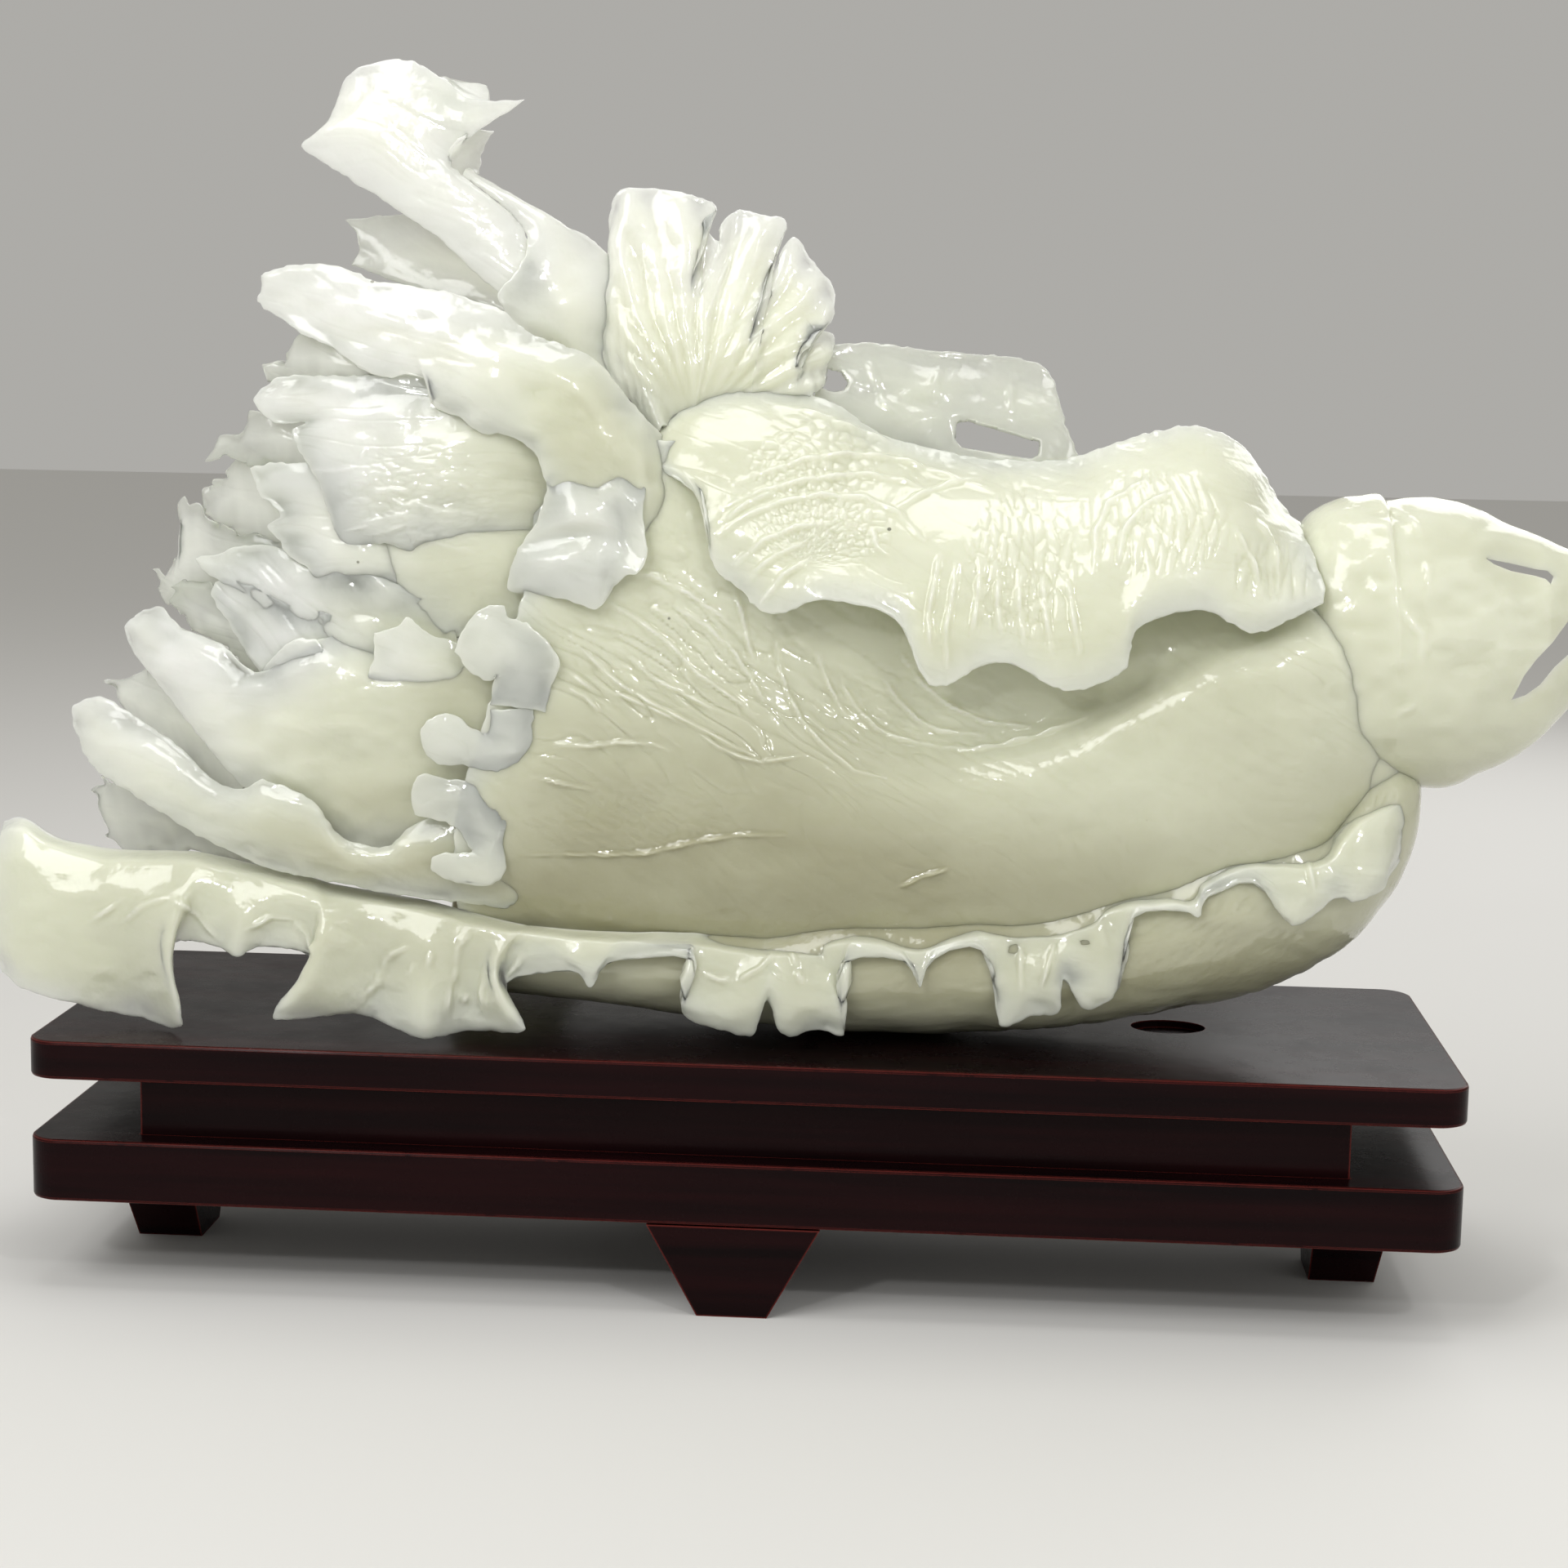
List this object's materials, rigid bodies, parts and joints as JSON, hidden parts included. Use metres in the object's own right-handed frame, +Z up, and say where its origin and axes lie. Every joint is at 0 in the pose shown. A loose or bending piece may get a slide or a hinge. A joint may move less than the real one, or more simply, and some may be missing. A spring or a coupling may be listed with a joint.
{
  "type": "jade cabbage carving on stand",
  "caption": "Polished jade carving of a leafy cabbage lying on its side, resting loose on a two-tier lacquered wooden stand with tapered feet.",
  "frame": {"origin": "centre of the footprint of the whole ornament's box, on the ground under the feet", "axes": "+X along the stand from the leaf tips to the root, +Y from the front to the back, +Z up"},
  "size_m": [0.5086, 0.14, 0.3808],
  "materials": {
    "jade": "polished pale green jade, slightly translucent",
    "lacquered_wood": "dark red-brown gloss lacquer on hardwood"
  },
  "bodies": {
    "stand": {"top_board": "lacquered_wood", "lower_board": "lacquered_wood", "waist_front_rail": "lacquered_wood", "waist_back_rail": "lacquered_wood", "waist_left_rail": "lacquered_wood", "waist_right_rail": "lacquered_wood", "front_foot": "lacquered_wood", "back_foot": "lacquered_wood", "left_foot": "lacquered_wood", "right_foot": "lacquered_wood"},
    "carving": {"jade_cabbage": "jade"}
  },
  "joints": [
    {"name": "carving_lift", "type": "slide", "parent": "stand", "child": "carving", "axis": [0, 0, 1], "range_m": [0, 0.12]}
  ]
}
